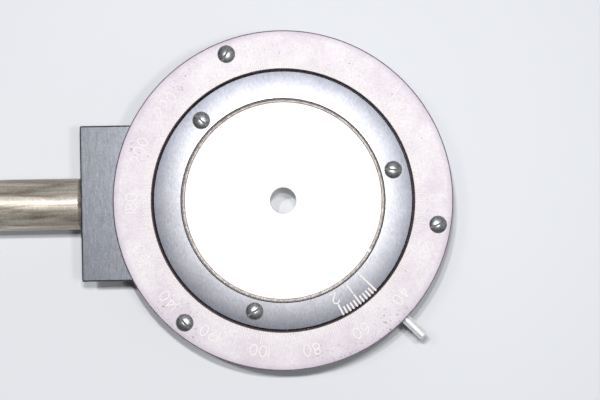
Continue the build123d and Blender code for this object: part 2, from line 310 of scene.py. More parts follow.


# %% [markdown]
# ## Faded lilac anodising on the degree circle
# The ring is aluminium, turned and anodised. Its dye has faded to a pale lilac that is nearly as
# bright as bare metal, with cloudy patches, fine grains, a few brown stains and violet specks, and
# it turns a darker violet towards the rim. A clear oxide lies over rough metal, so the shader is
# part metal and rather rough, and the colour is built in layers from coarse to fine.

# %% Material of the degree circle
faded, shader, place = new_material("faded_lilac_anodised_aluminium", Metallic=0.3, Roughness=0.55)
clouds = ranged(faded, noise(faded, place, 7.0, 4.0, 0.6), 0.35, 0.65)
lilac = blend(faded, clouds, "#BAB2B9", "#C5C0C3")
grains = noise(faded, place, 0.55, 3.0, 0.7)
grainy = dimmed(faded, lilac, ranged(faded, grains, 0.3, 0.7, 0.86, 1.06))
_, reach = off_axis(faded, place)
# The colour turns a darker violet over the last 1.6 mm before the rim.
near_rim = ranged(faded, reach, 39.6 * MM, 41.2 * MM, 0.0, 0.45)
darker_towards_rim = blend(faded, near_rim, grainy, "#8E7E98")
some_places = ranged(faded, noise(faded, place, 16.0, 1.0), 0.52, 0.68)
specks = ranged(faded, noise(faded, place, 0.55, 2.0), 0.58, 0.74)
spotted = node(faded, "Math", {0: some_places, 1: specks}, operation="MULTIPLY").outputs[0]
violet = blend(faded, spotted, darker_towards_rim, "#6E5678")
rust = ranged(faded, noise(faded, place, 1.3, 5.0, 0.75), 0.66, 0.76, 0.0, 0.7)
join(faded, blend(faded, rust, violet, "#7A5A50"), shader, "Base Color")
bump(faded, shader, grains, 0.15, 0.02)

# %% [markdown]
# ## White filling, dark bevel and plum rim
# Engraved lines are filled with white paint. It is chalky, so it is rough and has no metal. The
# bevel under the lines was cut after anodising and has browned. The rounded rim is painted a
# darker plum: partly the old dye, partly painted shade on the rounded edge.

# %% Materials of the engraving, the bevel and the rim
filling = two_toned("white_engraving_paint", "#DEDAD8", "#ECE8E6", 0.4, 2.0,
                    Metallic=0.0, Roughness=0.7, IOR=1.5)
browned = two_toned("browned_bare_bevel", "#94686C", "#D0B2B4", 1.2, 3.0,
                    Metallic=0.8, Roughness=0.35)
# Darker plum on the rounded rim: partly the old dye, partly painted shade on the edge.
rim_plum_and_shade = two_toned("plum_rim_dye_and_painted_shade", "#5A4C5E", "#A090A2", 2.0, 3.0,
                     Metallic=0.6, Roughness=0.4)

# %% [markdown]
# ## Worn blue-grey anodising on the vernier ring
# This ring was faced in a lathe, so very fine circles run round it. Light spreads across them and
# hardly along them, which the shader calls anisotropy. Its tangent is the direction away from the
# axis, worked out from the object's own coordinates. The colour is paler near the bore and darker
# towards the rim, and slanting rubs run over all of it.

# %% Material of the vernier ring
blue_grey, shader, place = new_material(
    "worn_blue_grey_anodised_aluminium", Metallic=1.0, Roughness=0.33, Anisotropic=0.3)
flat, reach = off_axis(blue_grey, place)
outward = node(blue_grey, "VectorTransform", {"Vector": flat},
               vector_type="VECTOR", convert_from="OBJECT", convert_to="WORLD")
join(blue_grey, outward.outputs[0], shader, "Tangent")
# The colour is paler near the bore and darker towards the rim.
bore_to_rim_tone = blend(blue_grey, ranged(blue_grey, reach, 24.6 * MM, 31.4 * MM), "#565659", "#34353A")
smears = ranged(blue_grey, noise(blue_grey, place, 6.0, 5.0, 0.65), 0.3, 0.7, 0.88, 1.06)
rubs = noise(blue_grey, place, (0.3, 0.9, 0.3), 5.0, 0.7, distortion=0.8, turned_by=0.6)
rubbed = dimmed(blue_grey, dimmed(blue_grey, bore_to_rim_tone, smears),
                ranged(blue_grey, rubs, 0.3, 0.7, 0.78, 1.22))
join(blue_grey, rubbed, shader, "Base Color")
bump(blue_grey, shader, rubs, 0.12, 0.02)

# %% [markdown]
# ## Black anodising, the block's brushed finish and the disc
# The housing is black anodised and satin. The block was brushed along its width before a dark
# blue-grey dye, so its grain is longer that way. The disc is a matt white plastic, yellowed a
# little in places.

# %% Materials of the housing, the block and the disc
black = two_toned("satin_black_anodised_aluminium", "#2A2A30", "#4A4A52", 1.5, 4.0,
                  Metallic=0.6, Roughness=0.42)

brushed, shader, place = new_material(
    "brushed_dark_anodised_aluminium", Metallic=0.85, Roughness=0.4)
brush_marks = noise(brushed, place, (0.35, 2.5, 0.35), 4.0, 0.7)
flecks = ranged(brushed, noise(brushed, place, 0.45, 4.0, 0.8), 0.35, 0.65, 0.82, 1.16)
brushing = blend(brushed, brush_marks, "#343A42", "#66666A")
join(brushed, dimmed(brushed, brushing, flecks), shader, "Base Color")
bump(brushed, shader, brush_marks, 0.3, 0.03)

plastic, shader, place = new_material("white_acetal_disc", Metallic=0.0, Roughness=0.5, IOR=1.48)
yellowing = noise(plastic, place, 9.0, 4.0)
join(plastic, blend(plastic, yellowing, "#F3F2EC", "#FDFDFC"), shader, "Base Color")
bump(plastic, shader, noise(plastic, place, 0.8, 2.0), 0.08, 0.02)

# %% [markdown]
# ## Steels, bronze, grime and painted shade
# The metals differ by their treatment and age: the split ring is dull and painted darker, partly as
# painted shade for its strip under the vernier ring's lip, the screws are darkened, the lever is
# bright, and the bearings are bronze. A table gives each its two tones, roughness, grain and metal
# share. The screw slots and the counterbores round the heads are painted dark: partly old oil,
# partly painted shade in these hollows. The post is drawn steel, so its tarnish runs along it in
# streaks with pits between.

# %% Materials of the steels and the bearing bronze
steels = {}
for name, dark, pale, roughness, grain, metallic in (
        # The split ring's steel is painted darker: partly painted shade for its strip under the
        # lip.
        ("dull_spring_steel_with_painted_shade", "#524D4B", "#746E6C", 0.45, 0.8, 0.85),
        ("darkened_screw_steel", "#7E8184", "#BCC0C4", 0.36, 0.5, 0.9),
        ("bright_turned_steel", "#E4E8E8", "#FAFCFC", 0.4, 0.4, 0.45),
        ("machined_bearing_bronze", "#8A6A3A", "#B08A50", 0.35, 0.5, 1.0)):
    metal, shader, place = new_material(name, Metallic=metallic, Roughness=roughness)
    patches = ranged(metal, noise(metal, place, grain, 5.0, 0.6), 0.35, 0.65)
    join(metal, blend(metal, patches, dark, pale), shader, "Base Color")
    steels[name] = metal
spring_steel, screw_steel, bright_steel, bronze = steels.values()

# Darker brown for a thin band on the split ring's inner edge.
edge_brown = two_toned("dark_brown_spring_edge", "#6A4E48", "#9A7E78", 0.8, 3.0,
                       Metallic=0.7, Roughness=0.45)
# Painted shade and grime: this dark colour goes on the screw slots and the counterbore walls.
recess_grime_and_painted_shade = two_toned("oily_grime_and_painted_shade_in_recesses", "#302E2D", "#7E7A77", 0.3, 3.0,
                  Metallic=0.2, Roughness=0.6)

# %% Material of the post
post_steel, shader, place = new_material("tarnished_drawn_steel", Metallic=0.6, Roughness=0.42)
tarnish = noise(post_steel, place, (18.0, 1.7, 1.7), 6.0, 0.55, distortion=0.7)
film = blend(post_steel, ranged(post_steel, tarnish, 0.36, 0.62), "#8E8476", "#D6CEC2")
pits = noise(post_steel, place, 0.5, 3.0, 0.7)
pitted = ranged(post_steel, pits, 0.3, 0.7, 0.72, 1.12)
join(post_steel, dimmed(post_steel, film, pitted), shader, "Base Color")
bump(post_steel, shader, pits, 0.4, 0.03)
print("materials", len(bpy.data.materials))

# %% [markdown]
# ## Strokes and digits
# An engraver's digits are single strokes of one width, so each is a few lines and arcs in a cell
# one unit high. A stroke becomes a flat bar that stands a hair proud of the face, as thick paint
# does. Strokes that cross lie at slightly different heights, so that no two faces share a place.
# The text goes round the ring: height in the cell becomes radius, and the way along the line
# becomes an angle, so the digits bend with the ring.

# %% Digits as strokes
FILL_PROUD = 0.012
FILL_SUNK = 0.03
LAYER_STEP = 0.003


def arc(x, y, rx, ry, start, end, steps=14):
    """Points on an ellipse about (x, y) from one angle to another, in degrees."""
    t = np.radians(np.linspace(start, end, steps))
    return np.stack([x + rx * np.cos(t), y + ry * np.sin(t)], 1)


def line(*points):
    """Points of straight runs."""
    return np.array(points, float)


DIGITS = {
    "0": [arc(0, 0.5, 0.31, 0.5, 0, 360, 33)],
    "1": [line((0, 0), (0, 1))],
    "2": [np.concatenate([arc(0, 0.72, 0.28, 0.28, 165, -25), line((-0.29, 0), (0.3, 0))])],
    "3": [np.concatenate([arc(0, 0.76, 0.25, 0.24, 150, -80), arc(0, 0.26, 0.29, 0.26, 80, -150)])],
    "4": [line((0.12, 0), (0.12, 1)), line((0.12, 1), (-0.32, 0.28)),
          line((-0.36, 0.28), (0.33, 0.28))],
    "6": [arc(0, 0.3, 0.3, 0.3, 0, 360, 29), arc(0.16, 0.3, 0.46, 0.7, 85, 176)],
    "8": [arc(0, 0.26, 0.3, 0.26, 90, 450, 29), arc(0, 0.77, 0.24, 0.23, -90, 270, 29)],
}
CELLS = {"1": 0.18}
WIDE_CELL = 0.87


def stroke(path, width, height):
    """A flat bar along a path of (x, y): each point goes half the width to both sides, at two
    heights. The side direction is at right angles to the line between a point's neighbours."""
    path = path[np.append(True, np.linalg.norm(np.diff(path, axis=0), axis=1) > 1e-6)]
    loop = np.linalg.norm(path[0] - path[-1]) < 1e-6
    path = path[:-1] if loop else path
    if loop:
        ahead = np.roll(path, -1, 0) - np.roll(path, 1, 0)
    else:
        ahead = np.gradient(path, axis=0)
    ahead /= np.linalg.norm(ahead, axis=1, keepdims=True)
    side = np.stack([-ahead[:, 1], ahead[:, 0]], 1) * width / 2
    left, right = path + side, path - side
    low, high = height - FILL_SUNK, height + FILL_PROUD
    corners = [np.column_stack([edge, np.full(len(edge), z)])
               for edge, z in ((left, low), (right, low), (right, high), (left, high))]
    points = np.stack(corners, 1).reshape(-1, 3)
    faces = [grid_faces(len(path), 4, wrap_rows=loop)]
    if not loop:
        last = 4 * (len(path) - 1)
        faces.append(np.array([(3, 2, 1, 0), (last, last + 1, last + 2, last + 3)]))
    return points, faces


def ring_text(text, angle, radius, size, width, height):
    """Text bent round a ring with its top outwards: cell height becomes radius, and the way along
    the line turns clockwise about the axis."""
    cells = [CELLS.get(letter, WIDE_CELL) for letter in text]
    at = -sum(cells) / 2
    bars = []
    for letter, cell in zip(text, cells):
        for layer, path in enumerate(DIGITS[letter]):
            r = radius + (path[:, 1] - 0.5) * size
            turned_by = np.radians(angle) - (path[:, 0] + at + cell / 2) * size / radius
            across = np.stack([r * np.cos(turned_by), r * np.sin(turned_by)], 1)
            bars.append(stroke(across, width, height + LAYER_STEP * layer))
        at += cell
    return stacked(*bars)


# %% [markdown]
# ## The degree circle
# The ring is one grid: its outline goes round the axis in six columns to the degree. At each degree
# the middle column is pressed in, from the bevel out to the line's end, so every line is a real
# groove that also notches the bevel, as a graver leaves it. Longer lines stand at five and ten
# degrees, and the numbers count clockwise from zero at the side away from the post.

# %% The degree circle's sizes and grid
FACE_Z = 31.75
RING_SEAT_Z = 28.575
DIAL_BORE_R, DIAL_R = 31.8, 41.275
DIAL_COLUMNS = 2160
LINE_DEPTH = 0.06
DEGREE_END, FIVE_END, TEN_END = 33.9, 34.4, 35.2
LINE_ENDING = 0.07


def scale_ring(rows, columns, lines, half_width):
    """A ring from its closed outline of (radius, height) rows, with lines pressed into it. Lines
    are (columns, first row, last row, depth), and in those rows the columns that are nearer than
    the half width to a line's column sink by the depth."""
    rows = np.array(rows, float)
    angle = np.arange(columns) * 2 * math.pi / columns
    radius = rows[:, :1] + 0 * angle
    height = rows[:, 1:] + 0 * angle
    for columns_of_line, first, last, depth in lines:
        for offset in range(-half_width + 1, half_width):
            height[first:last + 1, (columns_of_line + offset) % columns] -= depth
    points = np.stack([radius * np.cos(angle), radius * np.sin(angle), height], 2)
    return points.reshape(-1, 3), [grid_faces(len(rows), columns, wrap_rows=True)]


dial_rows = [
    (DIAL_BORE_R, RING_SEAT_Z), (DIAL_BORE_R, 31.0), (DIAL_BORE_R, 31.52),
    (32.04, FACE_Z), (32.12, FACE_Z),
    (DEGREE_END, FACE_Z), (DEGREE_END + LINE_ENDING, FACE_Z),
    (FIVE_END, FACE_Z), (FIVE_END + LINE_ENDING, FACE_Z),
    (TEN_END, FACE_Z), (TEN_END + LINE_ENDING, FACE_Z),
    (40.85, FACE_Z), (41.0, 31.73), (41.14, 31.64), (41.24, 31.48), (DIAL_R, 31.3),
    (DIAL_R, 28.85), (41.2, 28.65), (41.0, RING_SEAT_Z)]
WALL_ROW, BEVEL_LOW, BEVEL_HIGH = 1, 2, 3
DEGREE_ROW, FIVE_ROW, TEN_ROW = LAST_ROWS = 5, 7, 9
RIM_ROWS = slice(12, 15)
degrees = np.arange(360)
per_degree = DIAL_COLUMNS // 360
last_row = np.where(degrees % 10 == 0, TEN_ROW, np.where(degrees % 5 == 0, FIVE_ROW, DEGREE_ROW))
dial_lines = [(degrees[last_row == last] * per_degree, BEVEL_LOW, last, LINE_DEPTH)
              for last in LAST_ROWS]
dial_lines.append((degrees * per_degree, BEVEL_LOW, BEVEL_LOW, LINE_DEPTH))
dial_shape = scale_ring(dial_rows, DIAL_COLUMNS, dial_lines, 1)

PLAIN, FILLED, BARE, PLUM = range(4)
row_slot = np.full((len(dial_rows), DIAL_COLUMNS), PLAIN)
row_slot[WALL_ROW:BEVEL_HIGH] = BARE
# The rounded rim rows get the dark plum colour, partly painted shade on the edge.
row_slot[RIM_ROWS] = PLUM
for last in LAST_ROWS:
    for side in (-1, 0):
        lined = (degrees[last_row == last] * per_degree + side) % DIAL_COLUMNS
        row_slot[BEVEL_HIGH:last + 1, lined] = FILLED
dial = new_piece("degree_circle", dial_shape, [faded, filling, browned, rim_plum_and_shade], row_slot.ravel())
close_up(dial)

# %% The degree circle's screw holes and numbers
DIAL_SCREW_R, DIAL_SCREW_ANGLE, DIAL_SLOTS = 38.0, 110.2, (59.0, -48.0, 21.0)
VERNIER_SCREW_R, VERNIER_SCREW_ANGLE, VERNIER_SLOTS = 27.7, 14.6, (-9.0, -43.0, 32.0)
HEAD_SEAT_Z = 31.3
COUNTERBORE_R, SCREW_HOLE_R = 2.15, 1.28
NUMBER_SIZE, NUMBER_R, NUMBER_WIDTH = 2.66, 36.8, 0.25


def screw_sinks(circle_r, first_angle):
    """The counterbore and hole of each screw of a ring, as one cutting shape."""
    sink = turned([(0, 20), (SCREW_HOLE_R, 20), (SCREW_HOLE_R, HEAD_SEAT_Z),
                   (COUNTERBORE_R, HEAD_SEAT_Z), (COUNTERBORE_R, 40), (0, 40)], 48)
    return stacked(*[placed(sink, turn(first_angle + 120 * number) @ shift(circle_r, 0, 0))
                     for number in range(3)])


# The counterbore walls take the dark grime colour, which is partly painted shade round the heads.
cut(dial, screw_sinks(DIAL_SCREW_R, DIAL_SCREW_ANGLE), recess_grime_and_painted_shade)
numbers = stacked(*[ring_text(str(number), -number, NUMBER_R, NUMBER_SIZE, NUMBER_WIDTH, FACE_Z)
                    for number in range(0, 360, 20)])
dial_numbers = new_piece("degree_numbers", numbers, [filling])
finished(dial, FIXED, "faded_anodise", "dial_ring", sharp_degrees=12.0)
finished(dial_numbers, FIXED, "faded_anodise", weighted=False)

# %% [markdown]
# ## The vernier ring
# The same grid makes the vernier: ten columns to the degree, a long zero line, and ten lines 1.8
# degrees apart that share eighteen degrees of the circle, so that tenths of two degrees can be
# read. Its digits stand past the fifth and the tenth line.

# %% The vernier ring
VERNIER_BORE_R, VERNIER_R = 24.6, 31.46
VERNIER_COLUMNS = 3600
VERNIER_STEP, VERNIER_DEPTH, VERNIER_HALF_LINE = 1.8, 0.03, 4
DIGIT_SIZE, DIGIT_R, DIGIT_WIDTH = 2.6, 26.85, 0.3
LEVER_READING = 45.0
vernier_rows = [
    (VERNIER_BORE_R, RING_SEAT_Z), (VERNIER_BORE_R, 31.5), (24.66, 31.66), (24.85, FACE_Z),
    (24.98, FACE_Z), (25.05, FACE_Z), (28.43, FACE_Z), (28.5, FACE_Z), (29.53, FACE_Z),
    (29.6, FACE_Z), (31.15, FACE_Z), (31.22, FACE_Z), (31.4, 31.66),
    (VERNIER_R, 31.5), (VERNIER_R, RING_SEAT_Z)]
ZERO_START, LONG_START, SHORT_START = FIRST_ROWS = 5, 7, 9
LINES_END = 12
tick = np.arange(11)
tick_column = np.round(
    (360 - LEVER_READING - VERNIER_STEP * tick) * VERNIER_COLUMNS / 360).astype(int)
tick_start = np.where(tick == 0, ZERO_START, np.where(tick % 5 == 0, LONG_START, SHORT_START))
vernier_lines = [(tick_column[tick_start == first], first, LINES_END, VERNIER_DEPTH)
                 for first in FIRST_ROWS]
vernier_shape = scale_ring(vernier_rows, VERNIER_COLUMNS, vernier_lines, VERNIER_HALF_LINE)
row_slot = np.full((len(vernier_rows), VERNIER_COLUMNS), PLAIN)
for column, first in zip(tick_column, tick_start):
    row_slot[first - 1:LINES_END, column - VERNIER_HALF_LINE:column + VERNIER_HALF_LINE] = FILLED
vernier = new_piece("vernier_ring_faced", vernier_shape, [blue_grey, filling], row_slot.ravel())
close_up(vernier)
# The counterbore walls take the dark grime colour, which is partly painted shade round the heads.
cut(vernier, screw_sinks(VERNIER_SCREW_R, VERNIER_SCREW_ANGLE), recess_grime_and_painted_shade)
digits = stacked(*[ring_text(text, -LEVER_READING - VERNIER_STEP * at, DIGIT_R, DIGIT_SIZE,
                             DIGIT_WIDTH, FACE_Z) for text, at in (("1", 5), ("2", 10))])
vernier_digits = new_piece("vernier_digits", digits, [filling])
finished(vernier, TURNING, "vernier_anodise", "vernier_ring", sharp_degrees=12.0)
finished(vernier_digits, TURNING, "vernier_anodise", weighted=False)

# %% [markdown]
# ## Slotted screws of the two rings
# The heads are domed and stand a little proud of their counterbores. For each ring one screw is
# turned, its slot is sawn with a boolean, and then it is set three times, each with its slot where
# the screwdriver left it.

# %% Ring screws
HEAD_R, HEAD_RIM_Z, HEAD_TOP_Z = 1.95, 31.85, 32.4
SLOT_WIDTH, SLOT_FLOOR_Z = 0.5, 31.8
DIAL_SCREW_FOOT, VERNIER_SCREW_FOOT = 26.4, 22.575


def dome(radius, rim_z, top_z, steps=10):
    """The outline of a spherical cap from its rim to the axis. Its sphere's radius is
    (radius^2 + rise^2) / (2 rise)."""
    rise = top_z - rim_z
    sphere = (radius ** 2 + rise ** 2) / (2 * rise)
    r = np.linspace(radius, 0, steps)
    return [(x, top_z - sphere + math.sqrt(sphere ** 2 - x ** 2)) for x in r]


def ring_screw_piece(name, foot_z):
    """One screw about Z with its slot along X."""
    outline = [(0, foot_z), (1.1, foot_z), (1.25, foot_z + 0.15), (1.25, HEAD_SEAT_Z),
               (HEAD_R - 0.05, HEAD_SEAT_Z), (HEAD_R, HEAD_SEAT_Z + 0.05)]
    outline += dome(HEAD_R, HEAD_RIM_Z, HEAD_TOP_Z)
    screw = close_up(new_piece(name, turned(outline, 72), [screw_steel]))
    # The slot's walls and floor take the dark grime colour: partly old oil, partly painted shade.
    cut(screw, placed(brick(6, SLOT_WIDTH, 2), shift(0, 0, SLOT_FLOOR_Z + 1)), recess_grime_and_painted_shade)
    bevel = screw.modifiers.new("worn edges", "BEVEL")
    bevel.width, bevel.segments, bevel.angle_limit = 0.05 * MM, 2, math.radians(40)
    return close_up(settle(screw))


def taken_apart(piece):
    """Removes a piece and gives back its triangles, as a shape in millimetres, and their slots."""
    mesh = piece.data
    points = np.zeros(len(mesh.vertices) * 3)
    mesh.vertices.foreach_get("co", points)
    mesh.calc_loop_triangles()
    faces = np.zeros(len(mesh.loop_triangles) * 3, int)
    mesh.loop_triangles.foreach_get("vertices", faces)
    slots = np.zeros(len(mesh.loop_triangles), int)
    mesh.loop_triangles.foreach_get("material_index", slots)
    bpy.data.objects.remove(piece)
    return (points.reshape(-1, 3) / MM, [faces.reshape(-1, 3)]), slots


def set_screws(name, foot_z, circle_r, first_angle, slots, body, replaced):
    """The three screws of a ring as one piece."""
    shape, face_slots = taken_apart(ring_screw_piece(name + ".one", foot_z))
    all_three = []
    for number, slot_angle in enumerate(slots):
        place_angle = first_angle + 120 * number
        all_three.append(placed(
            shape, turn(place_angle) @ shift(circle_r, 0, 0) @ turn(slot_angle - place_angle)))
    screws = new_piece(name, stacked(*all_three), [screw_steel, recess_grime_and_painted_shade], np.tile(face_slots, 3))
    return finished(screws, body, "screw_steel", replaced)


set_screws("degree_circle_screws", DIAL_SCREW_FOOT, DIAL_SCREW_R, DIAL_SCREW_ANGLE, DIAL_SLOTS,
           FIXED, "dial_ring_screws")
set_screws("vernier_screws", VERNIER_SCREW_FOOT, VERNIER_SCREW_R, VERNIER_SCREW_ANGLE,
           VERNIER_SLOTS, TURNING, "vernier_ring_screws")

# %% [markdown]
# ## The disc, its split ring and the lever
# The disc is a plain white blank with a sight hole. A flat split ring lies on its edge, and a
# narrow strip of it shows inside the vernier ring. Its steel is painted darker, partly as painted
# shade for that strip under the ring's lip, and a thin band on its inner edge is darker brown. The
# lever is a bright pin with a domed end.

# %% Disc, split ring and lever
DISC_BACK_Z, DISC_FACE_Z, DISC_R, SIGHT_HOLE_R = 24.4, 27.575, 25.4, 3.175
disc_outline = eased([
    (SIGHT_HOLE_R, DISC_BACK_Z), (DISC_R, DISC_BACK_Z), (DISC_R, 27.375), (25.2, DISC_FACE_Z),
    (3.32, DISC_FACE_Z), (SIGHT_HOLE_R, 27.43)], (0.1, 0.1, 0.06, 0.06, 0.05, 0.05))
disc = new_piece("sight_disc", turned(disc_outline, 240), [plastic])
finished(disc, TURNING, "white_plastic", "target_disc")

SPLIT_BORE_R, SPLIT_R, SPLIT_LOW, SPLIT_HIGH, DARK_EDGE_BAND = 24.07, 25.5, 27.625, 28.525, 0.17
section = eased([(SPLIT_BORE_R, SPLIT_LOW), (SPLIT_R, SPLIT_LOW), (SPLIT_R, SPLIT_HIGH),
                 (SPLIT_BORE_R, SPLIT_HIGH)], 0.2)
ring_angles = np.radians(np.linspace(-30.0, 328.0, 300))[:, None]
ring_points = np.stack([section[:, 0] * np.cos(ring_angles), section[:, 0] * np.sin(ring_angles),
                        section[:, 1] + 0 * ring_angles], 2)
first_end = np.arange(len(section))[None, :]
last_end = first_end + len(section) * (len(ring_angles) - 1)
inner_side = np.tile(section[:, 0] < SPLIT_BORE_R + DARK_EDGE_BAND, len(ring_angles) - 1)
split_faces = [grid_faces(len(ring_angles), len(section)), first_end, last_end]
# Its darker steel is partly painted shade for the strip under the vernier ring's lip.
split_ring = new_piece("split_ring", (ring_points.reshape(-1, 3), split_faces),
                       [spring_steel, edge_brown], np.append(inner_side, [0, 0]))
finished(split_ring, TURNING, "spring_steel", "disc_retaining_wire")

LEVER_Z, LEVER_R, LEVER_ROOT, LEVER_TIP = 24.5, 1.19, 29.5, 48.375
along_lever = turn(-LEVER_READING) @ shift(0, 0, LEVER_Z) @ turn(90, "Y")
lever_outline = eased([(0, LEVER_ROOT), (LEVER_R, LEVER_ROOT), (LEVER_R, LEVER_TIP),
                       (0, LEVER_TIP)], (0, 0.1, 0.7, 0), 8)
lever = new_piece("lever", placed(turned(lever_outline, 64), along_lever), [bright_steel])
finished(lever, TURNING, "bright_steel", "lever_pin")

# %% [markdown]
# ## Housing, barrel and rear cover
# All three are turned. The outlines are those of the real section, with every corner eased a
# little, because a file takes the sharpness off anything that hands will hold. The lever's slot is
# cut from an arc whose height falls to nothing over its round ends.

# %% Housing with the lever's slot
HOUSING_R, COVER_T = 40.5, 1.6
housing_outline = eased([
    (35.5, RING_SEAT_Z), (HOUSING_R, RING_SEAT_Z), (HOUSING_R, 0.6), (39.9, 0), (39.1, 0),
    (39.1, COVER_T), (33.8, COVER_T), (33.8, 8.5), (32.5, 8.5), (32.5, 20.5), (35.5, 20.5)],
    (0.1, 0.15, 0.2, 0.2, 0.1, 0.1, 0.1, 0.1, 0.1, 0.1, 0.1))
housing = close_up(new_piece("round_housing", turned(housing_outline, 360), [black]))

SLOT_HALF, SLOT_REACH, SLOT_STEPS = 1.6, 100.0, 201
round_end = np.linspace(0, math.pi / 2, 9)
past_end = np.degrees(SLOT_HALF * np.sin(round_end) / HOUSING_R)
middle = np.linspace(-SLOT_REACH, SLOT_REACH, SLOT_STEPS)[1:-1]
slot_angle = np.radians(np.concatenate([-SLOT_REACH - past_end[::-1], middle,
                                        SLOT_REACH + past_end]))
slot_half = np.concatenate([SLOT_HALF * np.cos(round_end[::-1]), np.full(len(middle), SLOT_HALF),
                            SLOT_HALF * np.cos(round_end)])
slot_corners = [
    np.stack([r * np.cos(slot_angle), r * np.sin(slot_angle), LEVER_Z + side * slot_half], 1)
    for r, side in ((34, -1), (42, -1), (42, 1), (34, 1))]
slot_points = np.stack(slot_corners, 1).reshape(-1, 3)
cut(housing, (slot_points, [grid_faces(len(slot_angle), 4)]))
finished(housing, FIXED, "black_anodise", "housing")

# %% Barrel
BARREL_BORE_R, JOURNAL_R, FLANGE_R, FLANGE_TOP = 23.5, 30.95, 35.0, 28.0
barrel_outline = eased([
    (BARREL_BORE_R, 1.9), (29.5, 1.9), (29.5, 6.8), (JOURNAL_R, 6.8), (JOURNAL_R, 21.0),
    (FLANGE_R, 21.0), (FLANGE_R, FLANGE_TOP), (31.21, FLANGE_TOP), (31.21, RING_SEAT_Z),
    (25.55, RING_SEAT_Z), (25.55, DISC_BACK_Z), (BARREL_BORE_R, DISC_BACK_Z)], 0.12)
barrel = close_up(new_piece("turning_barrel", turned(barrel_outline, 360), [black]))
lever_hole = placed(rod(1.2, 29.0, 36.0), along_lever)
taps = stacked(*[placed(rod(SCREW_HOLE_R, 22.0, 30.0), turn(VERNIER_SCREW_ANGLE + 120 * number)
                        @ shift(VERNIER_SCREW_R, 0, 0)) for number in range(3)])
cut(barrel, stacked(lever_hole, taps))
finished(barrel, TURNING, "black_anodise", "rotor_barrel")

# %% Rear cover and its screws
COVER_SCREW_R, COVER_SCREW_ANGLE = 36.4, 30.0
cover_outline = eased([(24.0, 0), (39.0, 0), (39.0, COVER_T), (24.0, COVER_T)], 0.12)
cover = close_up(new_piece("flat_rear_cover", turned(cover_outline, 360), [black]))
cover_places = [turn(COVER_SCREW_ANGLE + 120 * number) @ shift(COVER_SCREW_R, 0, 0)
                for number in range(3)]
sink = turned([(0, -1), (2.83, -1), (1.03, 0.9), (1.03, 3), (0, 3)], 48)
cut(cover, stacked(*[placed(sink, place) for place in cover_places]))
finished(cover, FIXED, "black_anodise", "rear_cover")

cover_screw = close_up(new_piece("cover_screw.one", turned([
    (0, 0.2), (1.66, 0.2), (1.7, 0.23), (1.0, 0.9), (1.0, 5.9), (0.9, 6.0), (0, 6.0)], 48),
    [screw_steel]))
cut(cover_screw, placed(brick(6, SLOT_WIDTH, 2), shift(0, 0, -0.35)))
shape, _ = taken_apart(cover_screw)
cover_screws = new_piece("rear_cover_screws_set", stacked(*[
    placed(shape, place @ turn(37 * number)) for number, place in enumerate(cover_places)]),
    [screw_steel])
finished(cover_screws, FIXED, "screw_steel", "rear_cover_screws")

# %% [markdown]
# ## Mounting block, its screws and the post
# The block's plan is a closed line: straight sides, rounded outer corners and an arc that sits on
# the housing. That line is carried up through eight heights, drawn in at the top and bottom rims
# for the broken edge, and the two flat ends are closed with one face each.

# %% Mounting block
BLOCK_X, BLOCK_HALF, BLOCK_LOW, BLOCK_HIGH = -49.5, 19.05, 15.775, 28.475
BLOCK_Z = (BLOCK_LOW + BLOCK_HIGH) / 2
BLOCK_SCREW_Y, HEAD_FLOOR = 13, -45.1


def block_plan(inset):
    """The closed line seen from above, drawn in by the inset on its three outer sides."""
    half, x, corner = BLOCK_HALF - inset, BLOCK_X + inset, 0.5 - inset
    reach = math.degrees(math.asin(half / HOUSING_R))
    return np.concatenate([
        arc(0, 0, HOUSING_R, HOUSING_R, 180 + reach, 180 - reach, 61),
        arc(x + corner, half - corner, corner, corner, 90, 180, 7),
        arc(x + corner, -half + corner, corner, corner, 180, 270, 7)])


broken_edge = [(0.4, 0.0), (0.32, 0.02), (0.02, 0.32), (0.0, 0.4)]
levels = ([(inset, BLOCK_LOW + rise) for inset, rise in broken_edge]
          + [(inset, BLOCK_HIGH - rise) for inset, rise in reversed(broken_edge)])
plans = [block_plan(inset) for inset, _ in levels]
plan_count = len(plans[0])
block_points = np.concatenate([
    np.column_stack([plan, np.full(plan_count, z)]) for plan, (_, z) in zip(plans, levels)])
bottom = np.arange(plan_count)[None, :]
block = new_piece("mounting_block_milled", (block_points, [
    grid_faces(len(levels), plan_count), bottom, bottom + plan_count * (len(levels) - 1)]),
    [brushed])
close_up(block)
block_screw_places = [shift(0, y, BLOCK_Z) @ turn(90, "Y") for y in (-BLOCK_SCREW_Y, BLOCK_SCREW_Y)]
head_hole = turned([(0, -52), (3.7, -52), (3.7, HEAD_FLOOR), (2.03, HEAD_FLOOR), (2.03, -30),
                    (0, -30)], 64)
cut(block, stacked(*[placed(head_hole, place) for place in block_screw_places]))
finished(block, FIXED, "block_anodise", "mounting_block")

# %% Block screws and post
socket = turned([(0, -50), (1.732, -50), (1.732, -46.9), (0, -46.9)], 6)
screw_outline = eased([(0, -49.1), (3.5, -49.1), (3.5, HEAD_FLOOR), (2.0, HEAD_FLOOR),
                       (2.0, -36.0), (0, -36.0)], (0, 0.3, 0.1, 0.1, 0.2, 0))
block_screw = close_up(new_piece("block_screw.one", turned(screw_outline, 64), [screw_steel]))
cut(block_screw, socket)
shape, _ = taken_apart(block_screw)
block_screws = new_piece("block_socket_screws", stacked(*[
    placed(shape, place) for place in block_screw_places]), [screw_steel])
finished(block_screws, FIXED, "screw_steel", "block_screws")

